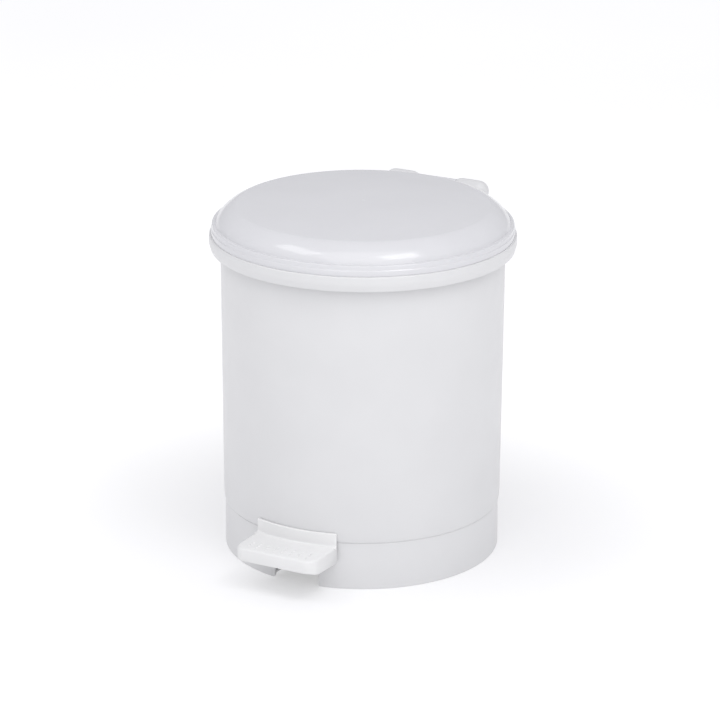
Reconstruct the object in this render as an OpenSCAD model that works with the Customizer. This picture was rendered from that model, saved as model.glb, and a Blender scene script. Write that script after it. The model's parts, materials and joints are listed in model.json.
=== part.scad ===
// Small round pedal bin: outer shell on a base ring, hinged domed lid, lift-out
// bucket, and a pedal lever that lifts the lid through a push rod at the back.
// Millimetres, +Z up. The origin is on the shell's axis at floor level, and the
// pedal points along -Y.

/* [Overall size] */
// Radius of the widest line of the rolled rim
rim_r = 110; // [100:0.5:132]
// Height of the rolled rim's top face above the floor
rim_top = 234.4; // [196:0.1:290]
// Height of the base ring, up to the seam with the shell
base_h = 34.8; // [33:0.1:44]

/* [Shell] */
// How far the rolled rim stands out beyond the shell's wall
rim_overhang = 8.2; // [6.5:0.1:11]
// Depth of the rim's outer skirt
rim_depth = 11; // [8:0.1:15]
// Wall thickness of the shell
shell_wall = 1.8; // [1.4:0.1:2.4]
// Loss of outer radius from the rim down to the seam
shell_draft = 1.2; // [0.6:0.1:3]
// How far the shell's lower edge turns in
lip_in = 1; // [0.5:0.1:1.4]
// Height over which the lower edge turns in
lip_h = 8; // [4:0.5:12]

/* [Base] */
// Wall thickness of the base ring
base_wall = 2.2; // [1.8:0.1:3]
// Step from the shell's wall in to the base ring
base_step = 1.2; // [1:0.1:2]
// Height of the spigot that locates the shell
spigot_h = 9.7; // [7:0.1:12]
// Thickness of the deck plate under the mechanism
deck_t = 2; // [1.6:0.1:2.4]
// Radius of the circle that the rubber feet stand on
foot_circle_r = 72; // [55:1:78]
// Radius of one rubber foot
foot_r = 8; // [6:0.5:10]

/* [Lid] */
// Height of the lid's upright wall
lid_wall_h = 7.1; // [6.6:0.1:9]
// Width of the ledge between the upright wall and the dome
ledge_w = 3.4; // [2.5:0.1:5]
// Radial width of the dome's shoulder
shoulder_run = 14.8; // [12:0.1:20]
// Height that the dome's shoulder gains
shoulder_rise = 12.6; // [11:0.1:18]
// Extra height of the crown over the shoulder
crown_rise = 2.8; // [1:0.1:5]
// Wall thickness of the lid
lid_t = 1.8; // [1.4:0.1:2]

/* [Hinge] */
// Distance of the hinge axis behind the rim
hinge_back = 5.5; // [5:0.1:8]
// Height of the hinge axis above the rim's top face
hinge_rise = 5.6; // [5:0.1:7]
// Distance between the middles of the two knuckles
knuckle_gap = 55.4; // [50:0.1:64]
// Radius of a knuckle
knuckle_r = 8; // [7:0.1:8.2]
// Radius of the hinge pins
pin_r = 2; // [1.5:0.1:2.6]
// Angle through which the pedal opens the lid
lid_open = 70; // [60:1:75]
// Distance from the hinge axis to the nose that the rod pushes
crank_arm = 23.7; // [22:0.1:26]

/* [Bucket] */
// Wall thickness of the bucket
bucket_wall = 1.6; // [1.2:0.1:2.2]
// Loss of outer radius from the bucket's mouth to its foot
bucket_draft = 5.6; // [2:0.1:12]
// Thickness of the bucket's rim flange
flange_t = 1.7; // [1.4:0.1:2]
// Radius of the bail's wire
bail_wire_r = 1.5; // [1.2:0.1:2]
// Radius of the sleeve on the bail
grip_r = 3.6; // [3:0.1:4.2]

/* [Pedal] */
// Width of the tread
tread_w = 64; // [50:1:76]
// Reach of the tread beyond the rim's widest line
tread_reach = 22; // [16:0.5:28]
// Depth of the tread's skirt at the body
tread_skirt = 12.5; // [11:0.1:14]
// Height of the upright plate above the tread
plate_h = 9.5; // [6:0.1:14]
// Corner radius of the tread, seen from above
tread_corner_r = 8; // [4:0.5:14]
// Width of the notch in the base ring
notch_w = 35.5; // [30:0.5:42]
// Width of the steel lever
lever_w = 16; // [12:0.5:20]
// Thickness of the steel lever
lever_t = 2.5; // [2:0.1:3]
// Distance of the pedal's axle behind the shell's wall
axle_inset = 66.8; // [60:0.2:74]
// Radius of the pedal's axle
axle_r = 2.5; // [2:0.1:3]

/* [Push rod] */
// Radius of the rod
rod_r = 1.75; // [1.5:0.05:1.9]
// Lift of the rod when the pedal is right down
rod_rise = 26.7; // [24:0.1:28]

/* [Hidden] */
$fn = 64;
eps = 0.01;

// Clearances
snug = 0.15;       // spigot inside the shell
run = 0.05;        // pin or axle turning in its bore
apart = 0.3;       // between pieces that move past each other
seam = 0.35;       // chamfer on each side of a parting line
lid_gap = 0.5;     // lid over the rim
rod_gap = 0.5;     // play at each end of the push rod

// Shell
shell_r_top = rim_r - rim_overhang;
shell_r_low = shell_r_top - shell_draft;
rim_wide_z = rim_top - rim_depth * 0.58;
rim_tuck_low = 1.5;
rim_tuck_top = 0.6;
function shell_in(z) = shell_r_low - shell_wall
    + shell_draft * (z - base_h) / (rim_top - base_h);

// Base
base_r_top = shell_r_low - base_step;
base_r_foot = base_r_top + 0.3;
spigot_r = shell_r_low - shell_wall - snug;
spigot_wall = 1.8;
spigot_top = base_h + spigot_h;
deck_z = 3;
deck_top = deck_z + deck_t;
pillar_r = 4.4;
pillar_circle_r = spigot_r - pillar_r - 0.2;
pillar_top = spigot_top + 0.5;
boss_h = 15;
rib_in = 22;
rib_t = 1.6;
screw_r = 1.5;
screw_head_r = 2.8;
screw_head_h = 2;
screw_seat_z = pillar_top - 7;
foot_stem_r = 2;
foot_lock_r = 3;
foot_lock_h = 1.4;
corners = [45, 135, 225, 315];

// Lid
lid_r = rim_r - 1.6;
lid_z = rim_top + lid_gap;
ledge_z = lid_z + lid_wall_h;
shoulder_r = lid_r - ledge_w;
crown_r = shoulder_r - shoulder_run;
shoulder_power = 1.45;

// Hinge
hinge_y = rim_r + hinge_back;
hinge_z = rim_top + hinge_rise;
knuckle_flat = 13;
barrel_r = 6.5;
barrel_x = knuckle_gap / 2 - 11.5;
pin_end_x = knuckle_gap / 2 + knuckle_flat / 2 + knuckle_r - 1;
nose_r = 2.5;
nose_w = 10;
nose_y = hinge_y - crank_arm * cos(lid_open / 2);
nose_z = hinge_z - crank_arm * sin(lid_open / 2);
bridge_z = rim_top + 1.8;

// Push rod
rod_y = nose_y - 1.8;
shoe_r = 2.6;
shoe_h = 8;
rod_top = nose_z - nose_r - rod_gap;
nut_r = rod_r + 1.05;
nut_h = 2.2;
nut_off = lever_t / 2 + 0.1 + rod_gap;
channel_w = 2 * nut_r + 6.4;
channel_in = 8;
guide_w = 11;
guide_h = 8;
guide_wall = 1.1;

// Bucket
bucket_r = rod_y - shoe_r - 1.1;
bucket_z = base_h + 6.2;
flange_r = lid_r - lid_t - 0.6;
flange_z = rim_top + apart;
bucket_top = flange_z + flange_t;
bucket_corner = 5;
function bucket_out(z) = bucket_r - bucket_draft * (flange_z - z) / (flange_z - bucket_z);
bail_drop = 7.4;
bail_z = bucket_top - bail_drop;
bail_r = bucket_out(bail_z) - bucket_wall - grip_r - 2 * apart;
bail_tip = bucket_r + 2.9;
bail_rest_h = 2.6;
bail_head = 1.6;
crank_slot_w = nose_w + 4;
crank_slot_h = 14;

// Pedal
tread_z = base_h - 1.8;
tread_t = 2.2;
tread_y = -(rim_r + tread_reach);
tread_front_h = 9.5;
plate_t = 2;
plate_r = shell_r_low + 0.8;
plate_top_r = 1;
tread_round = 2.2;
tread_back = -plate_r + 14;
skirt_lean = 2.3;
axle_y = -(shell_r_top - axle_inset);
axle_z = base_h - 10.3;
hub_r = 6.6;
hub_w = 22;
bush_r = 4.4;
bracket_in = hub_w / 2 + 1.2;
bracket_t = 4.8;
bracket_l = 16;
clip_t = 1;
clip_r = 5;
clip_x = bracket_in + bracket_t + apart;
groove_r = axle_r - 0.5;
axle_half = bracket_in + bracket_t + 3.4;
rear_arm = rod_y - axle_y;
lever_end_z = axle_z - rod_rise / 2;
lever_sweep = sqrt(pow(base_r_top - base_wall - 2 * apart, 2) - pow(lever_w / 2, 2)) - axle_y;
lever_end_y = axle_y + sqrt(pow(lever_sweep, 2) - pow((rod_rise + lever_t) / 2, 2));
lever_front_z = tread_z - tread_t - 3 - lever_t / 2;
lever_slope = (lever_end_z - axle_z) / rear_arm;
tread_screw_y = [tread_y + 9, tread_y + 22];
tread_screw_r = 1.4;
tread_boss_r = 4;
pip_step = 6.6;
pip_row = 3.6;

// ---- outlines ----

function arc(cx, cy, r, a0, a1, n) =
    [for (i = [0 : n]) [cx + r * cos(a0 + (a1 - a0) * i / n),
                        cy + r * sin(a0 + (a1 - a0) * i / n)]];

// Dome from the ledge to the crown; inset moves it in and down together.
function dome(inset, n) = concat(
    [for (i = [0 : n]) let (t = 90 * i / n)
        [crown_r - inset + shoulder_run * pow(cos(t), 2 / shoulder_power),
         ledge_z - inset + shoulder_rise * pow(sin(t), 2 / shoulder_power)]],
    [for (i = [n - 1 : -1 : 0]) let (s = i / n)
        [(crown_r - inset) * s,
         ledge_z - inset + shoulder_rise + crown_rise * (1 - s * s)]]);

// Outer face of the rolled rim, from its lower edge to its top corner.
function rim_face(n) = [for (i = [0 : n])
    let (z = rim_top - rim_depth + (rim_depth - 0.6) * i / n,
         low = max(0, rim_wide_z - z) / (rim_wide_z - rim_top + rim_depth),
         high = max(0, z - rim_wide_z) / (rim_top - rim_wide_z))
    [rim_r - rim_tuck_low * low * low - rim_tuck_top * high * high, z]];

function rev(v) = [for (i = [len(v) - 1 : -1 : 0]) v[i]];

module along_x(length) {
    rotate([90, 0, 90])
        translate([0, 0, -length / 2])
            linear_extrude(length)
                children();
}

module rod_x(r, x0, x1) {
    translate([x0, 0, 0])
        rotate([0, 90, 0])
            cylinder(r = r, h = x1 - x0);
}

// ---- base ----

module base_ring() {
    rotate_extrude($fn = 128)
        polygon([
            [base_r_foot - base_wall, 0],
            [base_r_foot - 0.6, 0],
            [base_r_foot, 0.6],
            [base_r_top, base_h - seam],
            [base_r_top - seam, base_h],
            [spigot_r, base_h],
            [spigot_r, spigot_top - 0.8],
            [spigot_r - 0.8, spigot_top],
            [spigot_r - spigot_wall, spigot_top],
            [spigot_r - spigot_wall, base_h - 1],
            [base_r_top - base_wall, base_h - 3]]);
}

module at_corners(r) {
    for (a = corners)
        rotate([0, 0, a])
            translate([r, 0, 0])
                children();
}

module axle_brackets() {
    for (side = [-1, 1])
        translate([side * (bracket_in + bracket_t / 2), axle_y, 0])
            along_x(bracket_t)
                union() {
                    translate([-bracket_l / 2, deck_top - eps])
                        square([bracket_l, axle_z - deck_top]);
                    translate([0, axle_z])
                        circle(r = bracket_l / 2 - 0.5);
                }
}

module base() {
    color("white")
    difference() {
        union() {
            base_ring();
            translate([0, 0, deck_z])
                cylinder(r = base_r_top - base_wall / 2, h = deck_t, $fn = 128);
            at_corners(pillar_circle_r)
                translate([0, 0, deck_z])
                    cylinder(r = pillar_r, h = pillar_top - deck_z);
            axle_brackets();
            for (a = [15 : 30 : 345])
                rotate([0, 0, a])
                    translate([rib_in, -rib_t / 2, 0.8])
                        cube([foot_circle_r - foot_r - 2 - rib_in, rib_t, deck_z]);
        }
        // notch and deck opening for the lever
        translate([-notch_w / 2, -rim_r, -1])
            cube([notch_w, rim_r - foot_circle_r, tread_z - 0.4 + 1]);
        // channel for the rod's lower end
        translate([-channel_w / 2, base_r_top - base_wall - channel_in, deck_top])
            cube([channel_w, channel_in + 0.8, spigot_top]);
        translate([-channel_w / 2, base_r_top - base_wall - channel_in, base_h - 1])
            cube([channel_w, channel_in + 6, spigot_h + 2]);
        // screw counterbores and clearance holes
        at_corners(pillar_circle_r) {
            translate([0, 0, -1])
                cylinder(r = screw_head_r + 0.2, h = screw_seat_z + 1);
            cylinder(r = screw_r + 0.1, h = pillar_top + 1);
        }
        at_corners(foot_circle_r)
            cylinder(r = foot_stem_r, h = deck_top + 1);
        translate([0, axle_y, axle_z])
            rod_x(axle_r, -axle_half, axle_half);
    }
}

module base_screws() {
    color("silver")
    at_corners(pillar_circle_r) {
        translate([0, 0, screw_seat_z - screw_head_h])
            difference() {
                cylinder(r1 = screw_head_r - 0.5, r2 = screw_head_r, h = screw_head_h);
                for (a = [0, 90])
                    rotate([0, 0, a])
                        translate([-1.6, -0.35, -1])
                            cube([3.2, 0.7, 2]);
            }
        translate([0, 0, screw_seat_z - eps])
            cylinder(r = screw_r, h = pillar_top - screw_seat_z + boss_h - 4);
    }
}

module rubber_foot(a) {
    color("dimgray")
    rotate([0, 0, a])
        translate([foot_circle_r, 0, 0])
            rotate_extrude()
                polygon([
                    [0, 0],
                    [foot_r - 0.6, 0],
                    [foot_r, 0.6],
                    [foot_r, deck_z],
                    [foot_stem_r, deck_z],
                    [foot_stem_r, deck_top],
                    [foot_lock_r, deck_top],
                    [foot_lock_r - 0.8, deck_top + foot_lock_h],
                    [0, deck_top + foot_lock_h]]);
}

module foot_front_left() rubber_foot(225);
module foot_front_right() rubber_foot(315);
module foot_back_left() rubber_foot(135);
module foot_back_right() rubber_foot(45);

// ---- outer shell ----

module shell_wall_profile() {
    under = rim_top - shell_wall;
    polygon(concat(
        [[shell_r_low - shell_wall, base_h],
         [shell_r_low - lip_in - seam, base_h]],
        [for (i = [0 : 6]) let (t = 15 * i)
            [shell_r_low - lip_in * (1 - sin(t)),
             base_h + seam + (lip_h - seam) * (1 - cos(t))]],
        [[shell_r_top, under - 1.5],
         [shell_r_top + 1.5, under]],
        [[rim_r - shell_wall - 2, under],
         [rim_r - shell_wall - 0.5, under - 1.5],
         [rim_r - rim_tuck_low - shell_wall, rim_top - rim_depth]],
        rim_face(8),
        [[rim_r - rim_tuck_top - 0.6, rim_top],
         [shell_r_top - shell_wall + 0.5, rim_top],
         [shell_r_top - shell_wall, rim_top - 0.5]]));
}

module knuckle(side) {
    mid = knuckle_gap / 2;
    half = knuckle_flat / 2;
    mirror([side < 0 ? 1 : 0, 0, 0])
    difference() {
        union() {
            translate([0, hinge_y, hinge_z]) {
                rod_x(knuckle_r, mid - half, mid + half);
                for (x = [mid - half, mid + half])
                    translate([x, 0, 0])
                        sphere(r = knuckle_r);
            }
            translate([mid, 0, 0])
                along_x(knuckle_flat + 6)
                    polygon([
                        [shell_r_top - 2.8, rim_top - 7.4],
                        [shell_r_top - 2.8, rim_top - 1],
                        [hinge_y - 7.3, rim_top - 1],
                        [hinge_y - 7.3, hinge_z],
                        [hinge_y, hinge_z],
                        [hinge_y + 7.4, hinge_z - 3],
                        [hinge_y - 2, hinge_z - 15],
                        [hinge_y - 8.5, hinge_z - 15.8]]);
        }
        // flat inner face that meets the lid's barrel
        translate([barrel_x + apart - 20, hinge_y - 20, hinge_z - 20])
            cube([20, 40, 40]);
        // hollow of the shell
        translate([0, 0, rim_top - 20])
            cylinder(r = shell_in(rim_top), h = 21, $fn = 128);
    }
}

module outer_shell() {
    color("white")
    difference() {
        union() {
            rotate_extrude($fn = 128)
                shell_wall_profile();
            knuckle(1);
            knuckle(-1);
            at_corners(0)
                translate([pillar_circle_r, 0, pillar_top]) {
                    cylinder(r = pillar_r, h = boss_h);
                    translate([0, -2.5, 0])
                        cube([pillar_r + 0.8, 5, boss_h]);
                }
        }
        at_corners(pillar_circle_r)
            translate([0, 0, pillar_top - 1])
                cylinder(r = screw_r, h = boss_h - 1);
        translate([0, hinge_y, hinge_z])
            rod_x(pin_r, -knuckle_gap, knuckle_gap);
    }
}

module hinge_pin(side) {
    color("silver")
    translate([0, hinge_y, hinge_z])
        mirror([side < 0 ? 1 : 0, 0, 0])
            translate([6, 0, 0])
                rotate([0, 90, 0])
                    rotate_extrude()
                        polygon([
                            [0, 0],
                            [pin_r - 0.4, 0],
                            [pin_r, 0.4],
                            [pin_r, pin_end_x - 6.4],
                            [pin_r - 0.4, pin_end_x - 6],
                            [0, pin_end_x - 6]]);
}

module hinge_pin_left() hinge_pin(-1);
module hinge_pin_right() hinge_pin(1);

// ---- lid ----

module lid() {
    color("white")
    difference() {
        union() {
            rotate_extrude($fn = 128)
                polygon(concat(
                    [[lid_r - lid_t, lid_z],
                     [lid_r - seam, lid_z],
                     [lid_r, lid_z + seam]],
                    arc(lid_r - 0.8, ledge_z - 0.8, 0.8, 0, 90, 4),
                    dome(0, 14),
                    rev(dome(lid_t, 14)),
                    [[lid_r - lid_t, ledge_z - lid_t]]));
            // barrel and the bridge that carries it
            translate([0, hinge_y, hinge_z])
                rod_x(barrel_r, -barrel_x, barrel_x);
            difference() {
                translate([-barrel_x, lid_r - 5, bridge_z])
                    cube([2 * barrel_x, hinge_back + 6.6, ledge_z - lid_t - bridge_z]);
                translate([0, 0, bridge_z - 1])
                    cylinder(r = lid_r - lid_t / 2, h = lid_wall_h, $fn = 128);
            }
            // crank that the push rod lifts
            translate([-nose_w / 2, nose_y - nose_r, bridge_z])
                cube([nose_w, lid_r - nose_y, ledge_z - lid_t - bridge_z + 0.3]);
            translate([-nose_w / 2, nose_y - nose_r, nose_z])
                cube([nose_w, 2 * nose_r, bridge_z + 1 - nose_z]);
            translate([0, nose_y, nose_z])
                rod_x(nose_r, -nose_w / 2, nose_w / 2);
        }
        translate([0, hinge_y, hinge_z])
            rod_x(pin_r + run, -knuckle_gap, knuckle_gap);
    }
}

// ---- bucket ----

module inner_bucket() {
    foot_in = bucket_r - bucket_draft;
    color("gainsboro")
    difference() {
        union() {
            rotate_extrude($fn = 128)
                polygon(concat(
                    [[0, bucket_z]],
                    arc(foot_in - bucket_corner, bucket_z + bucket_corner,
                        bucket_corner, -90, 0, 5),
                    [[bucket_r, flange_z],
                     [flange_r - 0.5, flange_z],
                     [flange_r, flange_z + 0.5],
                     [flange_r, bucket_top - 0.5],
                     [flange_r - 0.5, bucket_top],
                     [bucket_r - bucket_wall + 0.6, bucket_top],
                     [bucket_r - bucket_wall, bucket_top - 0.6]],
                    arc(foot_in - bucket_corner, bucket_z + bucket_corner,
                        bucket_corner - bucket_wall, 0, -90, 5),
                    [[0, bucket_z + bucket_wall]]));
            // pips that the folded bail rests on
            for (a = [-32, 32])
                rotate([0, 0, a - 90])
                    translate([bail_r - bail_wire_r, -2, bail_z - bail_wire_r - apart - bail_rest_h])
                        cube([bucket_out(bail_z) - bail_r + 0.9, 4, bail_rest_h]);
        }
        translate([-crank_slot_w / 2, bucket_r - bucket_wall - 2, bucket_top - crank_slot_h])
            cube([crank_slot_w, rim_r, crank_slot_h + 1]);
        translate([0, 0, bail_z])
            rod_x(bail_wire_r + run, -bucket_r - 5, bucket_r + 5);
    }
}

module bucket_bail() {
    color("silver")
    translate([0, 0, bail_z]) {
        rotate([0, 0, 180])
            rotate_extrude(angle = 180, $fn = 96)
                translate([bail_r, 0])
                    circle(r = bail_wire_r, $fn = 32);
        for (side = [-1, 1])
            translate([side * bail_r, 0, 0]) {
                sphere(r = bail_wire_r, $fn = 32);
                rotate([0, side * 90, 0]) {
                    cylinder(r = bail_wire_r, h = bail_tip - bail_r, $fn = 32);
                    translate([0, 0, bail_tip - 0.6 - bail_head - bail_r])
                        cylinder(r = bail_wire_r + 0.8, h = bail_head, $fn = 32);
                }
            }
    }
}

module bail_grip() {
    color("gray")
    translate([0, 0, bail_z])
        rotate([0, 0, 270 - 22])
            rotate_extrude(angle = 44, $fn = 96)
                translate([bail_r, 0])
                    difference() {
                        circle(r = grip_r, $fn = 32);
                        circle(r = bail_wire_r + 0.02, $fn = 32);
                    }
}

// ---- pedal ----

module tread_outline(inset) {
    half = tread_w / 2 - inset;
    front = tread_y + inset;
    r = tread_corner_r - inset;
    translate([-half, front + r])
        square([2 * half, tread_back - front - r]);
    translate([-half + r, front])
        square([2 * (half - r), tread_back - front]);
    for (side = [-1, 1])
        translate([side * (half - r), front + r])
            circle(r = r);
}

module tread_side(inset) {
    top = tread_z - inset;
    front = tread_y + inset;
    open = inset > 0 ? 1 : 0;
    polygon(concat(
        [[tread_back, tread_z - tread_skirt - open],
         [tread_y + 14, tread_z - tread_skirt - open],
         [tread_y + 3, tread_z - tread_front_h - 1 - open],
         [front, tread_z - tread_front_h - 2 * open]],
        arc(front + tread_round, top - tread_round, tread_round, 180, 90, 4),
        [[tread_back, top]]));
}

module tread_block(inset) {
    intersection() {
        linear_extrude(tread_z + 5)
            tread_outline(inset);
        along_x(tread_w + 2)
            tread_side(inset);
    }
}

module pedal_tread() {
    skirt_z = tread_z - tread_skirt;
    plate_a = 2 * asin(tread_w / 2 / (plate_r + plate_t));
    color("white")
    difference() {
        union() {
            difference() {
                tread_block(0);
                difference() {
                    tread_block(tread_t);
                    // back wall follows the body
                    translate([0, 0, skirt_z - 2])
                        cylinder(r = plate_r + skirt_lean + tread_t, h = tread_skirt + 4);
                }
            }
            rotate([0, 0, 270 - plate_a / 2])
                rotate_extrude(angle = plate_a, $fn = 128)
                    polygon(concat(
                        [[plate_r - 1, tread_z - 2],
                         [plate_r + plate_t, tread_z - 2]],
                        arc(plate_r + plate_t - plate_top_r, tread_z + plate_h - plate_top_r,
                            plate_top_r, 0, 90, 4),
                        [[plate_r - 1, tread_z + plate_h]]));
            for (y = tread_screw_y)
                translate([0, y, lever_front_z + lever_t / 2])
                    cylinder(r = tread_boss_r, h = tread_z - lever_front_z - lever_t / 2 - 1);
            tread_pips();
        }
        // face that clears the body, leaning out towards the floor
        rotate_extrude($fn = 128)
            polygon([
                [0, skirt_z - 3],
                [plate_r + skirt_lean + 0.5, skirt_z - 3],
                [plate_r, tread_z - 1],
                [plate_r, tread_z + plate_h + 1],
                [0, tread_z + plate_h + 1]]);
        // opening for the lever
        translate([-lever_w / 2 - 0.3, tread_y + 12, skirt_z - 2])
            cube([lever_w + 0.6, 40, lever_front_z + lever_t / 2 + 0.05 - skirt_z + 2]);
        for (y = tread_screw_y)
            translate([0, y, lever_front_z])
                cylinder(r = tread_screw_r, h = 6);
    }
}

// Groups of small anti-slip pips along the front half of the tread.
module tread_pips() {
    for (i = [-3.5 : 3.5], j = [0 : 2])
        translate([i * pip_step, tread_y + 6.5 + j * pip_row, tread_z - eps])
            cylinder(r1 = 0.95, r2 = 0.6, h = 0.6, $fn = 24);
}

module tread_screws() {
    color("silver")
    for (y = tread_screw_y)
        translate([0, y, lever_front_z - lever_t / 2 - 1.6]) {
            cylinder(r1 = 2.2, r2 = 2.7, h = 1.6);
            cylinder(r = tread_screw_r, h = lever_t + 6);
        }
}

function lever_line() = [
    [tread_y + 5, lever_front_z],
    [-(base_r_top - 3), lever_front_z],
    [axle_y - 8, axle_z],
    [axle_y, axle_z],
    [lever_end_y, axle_z + lever_slope * (lever_end_y - axle_y)]];

module pedal_lever() {
    color("silver")
    difference() {
        union() {
            along_x(lever_w)
                polygon(concat(
                    [for (p = lever_line()) p + [0, lever_t / 2]],
                    [for (p = rev(lever_line())) p - [0, lever_t / 2]]));
            translate([0, axle_y, axle_z])
                rod_x(hub_r, -hub_w / 2, hub_w / 2);
        }
        translate([0, axle_y, axle_z])
            rod_x(bush_r, -hub_w, hub_w);
        // fork that the rod stands in
        translate([0, rod_y - 1, lever_end_z - 10])
            cylinder(r = rod_r + apart, h = 20);
        translate([-rod_r - apart, rod_y - 1, lever_end_z - 10])
            cube([2 * (rod_r + apart), 20, 20]);
        for (y = tread_screw_y)
            translate([0, y, lever_front_z - 5])
                cylinder(r = tread_screw_r + 0.1, h = 10);
    }
}

module pivot_bush() {
    color("ivory")
    translate([0, axle_y, axle_z])
        difference() {
            rod_x(bush_r, -hub_w / 2 - 0.6, hub_w / 2 + 0.6);
            rod_x(axle_r + run, -hub_w, hub_w);
        }
}

module pedal_axle() {
    color("silver")
    translate([0, axle_y, axle_z])
        difference() {
            rod_x(axle_r, -axle_half, axle_half);
            for (side = [-1, 1])
                translate([side * (clip_x + clip_t / 2), 0, 0])
                    difference() {
                        rod_x(axle_r + 1, -clip_t / 2, clip_t / 2);
                        rod_x(groove_r, -clip_t, clip_t);
                    }
        }
}

module axle_clip(side) {
    color("silver")
    translate([side * (clip_x + clip_t / 2), axle_y, axle_z])
        difference() {
            rod_x(clip_r, -clip_t / 2 + 0.05, clip_t / 2 - 0.05);
            rod_x(groove_r + 0.02, -clip_t, clip_t);
            translate([-clip_t, -groove_r * 0.8, 0])
                cube([2 * clip_t, 1.6 * groove_r, clip_r + 1]);
        }
}

module axle_clip_left() axle_clip(-1);
module axle_clip_right() axle_clip(1);

// ---- push rod ----

module push_rod() {
    bottom = lever_end_z - nut_off - nut_h - 0.4;
    color("silver")
    translate([0, rod_y, bottom])
        cylinder(r = rod_r, h = rod_top - 2 - bottom);
}

module rod_shoe() {
    color("ivory")
    translate([0, rod_y, rod_top - shoe_h])
        rotate_extrude()
            polygon([
                [rod_r, 0],
                [shoe_r, 0],
                [shoe_r, shoe_h - 0.3],
                [shoe_r - 0.3, shoe_h],
                [0, shoe_h],
                [0, shoe_h - 2],
                [rod_r, shoe_h - 2]]);
}

module rod_nut(z) {
    color("silver")
    translate([0, rod_y, z])
        difference() {
            cylinder(r = nut_r, h = nut_h);
            translate([0, 0, -1])
                cylinder(r = rod_r, h = nut_h + 2);
        }
}

module rod_nut_upper() rod_nut(lever_end_z + nut_off);
module rod_nut_lower() rod_nut(lever_end_z - nut_off - nut_h);

module rod_guide(z) {
    near = rod_y - rod_r - run - guide_wall;
    color("ivory")
    difference() {
        intersection() {
            translate([-guide_w / 2, near, z])
                cube([guide_w, rim_r - near, guide_h]);
            translate([0, 0, z])
                cylinder(r = shell_in(z) - 0.02, h = guide_h, $fn = 128);
        }
        translate([0, rod_y, z - 1])
            cylinder(r = rod_r + run, h = guide_h + 2);
    }
}

module rod_guide_upper() rod_guide(rim_top - 40);
module rod_guide_lower() rod_guide(spigot_top + 32);

base();
outer_shell();
inner_bucket();
bucket_bail();
bail_grip();
lid();
hinge_pin_left();
hinge_pin_right();
pedal_tread();
pedal_lever();
tread_screws();
pivot_bush();
pedal_axle();
axle_clip_left();
axle_clip_right();
push_rod();
rod_shoe();
rod_nut_upper();
rod_nut_lower();
rod_guide_upper();
rod_guide_lower();
foot_front_left();
foot_front_right();
foot_back_left();
foot_back_right();
base_screws();
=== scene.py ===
# %% [markdown]
# A small round pedal bin, built around its CAD frame.
# The frame holds every piece at its real size and place. Here the pieces that show are
# modelled again with the soft corners, ribs and grips that moulding gives them, and every
# surface gets a finish of its own. All lengths are in metres, and MM turns millimetres
# into metres.

# %% Load the frame
import json
import math
import bpy
from mathutils import Euler, Matrix, Vector


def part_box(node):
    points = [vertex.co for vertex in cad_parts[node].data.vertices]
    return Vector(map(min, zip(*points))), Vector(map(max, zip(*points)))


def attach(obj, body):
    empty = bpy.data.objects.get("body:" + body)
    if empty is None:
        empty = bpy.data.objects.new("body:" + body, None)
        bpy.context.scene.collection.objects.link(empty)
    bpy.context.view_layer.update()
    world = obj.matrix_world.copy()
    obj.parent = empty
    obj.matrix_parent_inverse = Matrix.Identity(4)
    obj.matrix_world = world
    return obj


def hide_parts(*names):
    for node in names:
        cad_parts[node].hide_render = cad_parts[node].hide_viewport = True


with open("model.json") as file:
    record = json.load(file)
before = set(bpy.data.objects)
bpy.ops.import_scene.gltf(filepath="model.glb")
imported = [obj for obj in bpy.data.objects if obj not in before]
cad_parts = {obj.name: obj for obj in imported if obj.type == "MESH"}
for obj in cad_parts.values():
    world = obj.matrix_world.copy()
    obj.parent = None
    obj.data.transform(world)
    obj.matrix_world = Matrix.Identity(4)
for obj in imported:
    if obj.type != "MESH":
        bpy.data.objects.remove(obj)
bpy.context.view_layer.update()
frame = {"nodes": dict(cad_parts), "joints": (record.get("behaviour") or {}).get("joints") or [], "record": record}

MM = 0.001


def plain(corners):
    """Two corners as plain lists of rounded numbers."""
    return [[round(value, 6) for value in corner] for corner in corners]


# %% [markdown]
# The camera comes first, so that each later step can be looked at.
# It stands far off with a long lens, which keeps the upright sides nearly parallel, a little
# to the right of the pedal, and it looks down on the lid.

# %% Camera
rim_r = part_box("outer_shell")[1].x
AZIMUTH = math.radians(28.1)
PITCH = math.radians(18.91)
ROLL = math.radians(0.26)
DISTANCE = 21.02 * rim_r
HEIGHT = 8.451 * rim_r
SIDESTEP = -0.0164 * rim_r

sight = Vector((-math.sin(AZIMUTH), math.cos(AZIMUTH), 0))
across = Vector((math.cos(AZIMUTH), math.sin(AZIMUTH), 0))

camera_data = bpy.data.cameras.new("camera")
camera_data.sensor_width = 36
camera_data.lens = 169.2
camera_data.clip_start = 0.1
camera_data.clip_end = 60
camera = bpy.data.objects.new("camera", camera_data)
bpy.context.collection.objects.link(camera)
camera.location = across * SIDESTEP - sight * DISTANCE + Vector((0, 0, HEIGHT))
turn_to_bin = Euler((math.radians(90) - PITCH, 0, AZIMUTH)).to_matrix()
lean = Matrix.Rotation(ROLL, 3, "Z")
camera.rotation_euler = (turn_to_bin @ lean).to_euler()
bpy.context.scene.camera = camera
print("camera at", plain([camera.location])[0])

# %% [markdown]
# White plastic on a pale floor needs soft light from large sources: a bright room all
# round, a large softbox in front of the bin, and two smaller ones set high at the left and
# the right, which draw the two long highlights on the lid's shoulder. The flat crown stays
# a shade darker than the sides.

# %% Light
def linear(code):
    """An sRGB hex colour as linear RGBA."""
    parts = [int(code[i:i + 2], 16) / 255 for i in (1, 3, 5)]
    curve = [c / 12.92 if c <= 0.04045 else ((c + 0.055) / 1.055) ** 2.4 for c in parts]
    return (*curve, 1.0)


BOX_DISTANCE = 1.6


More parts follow.
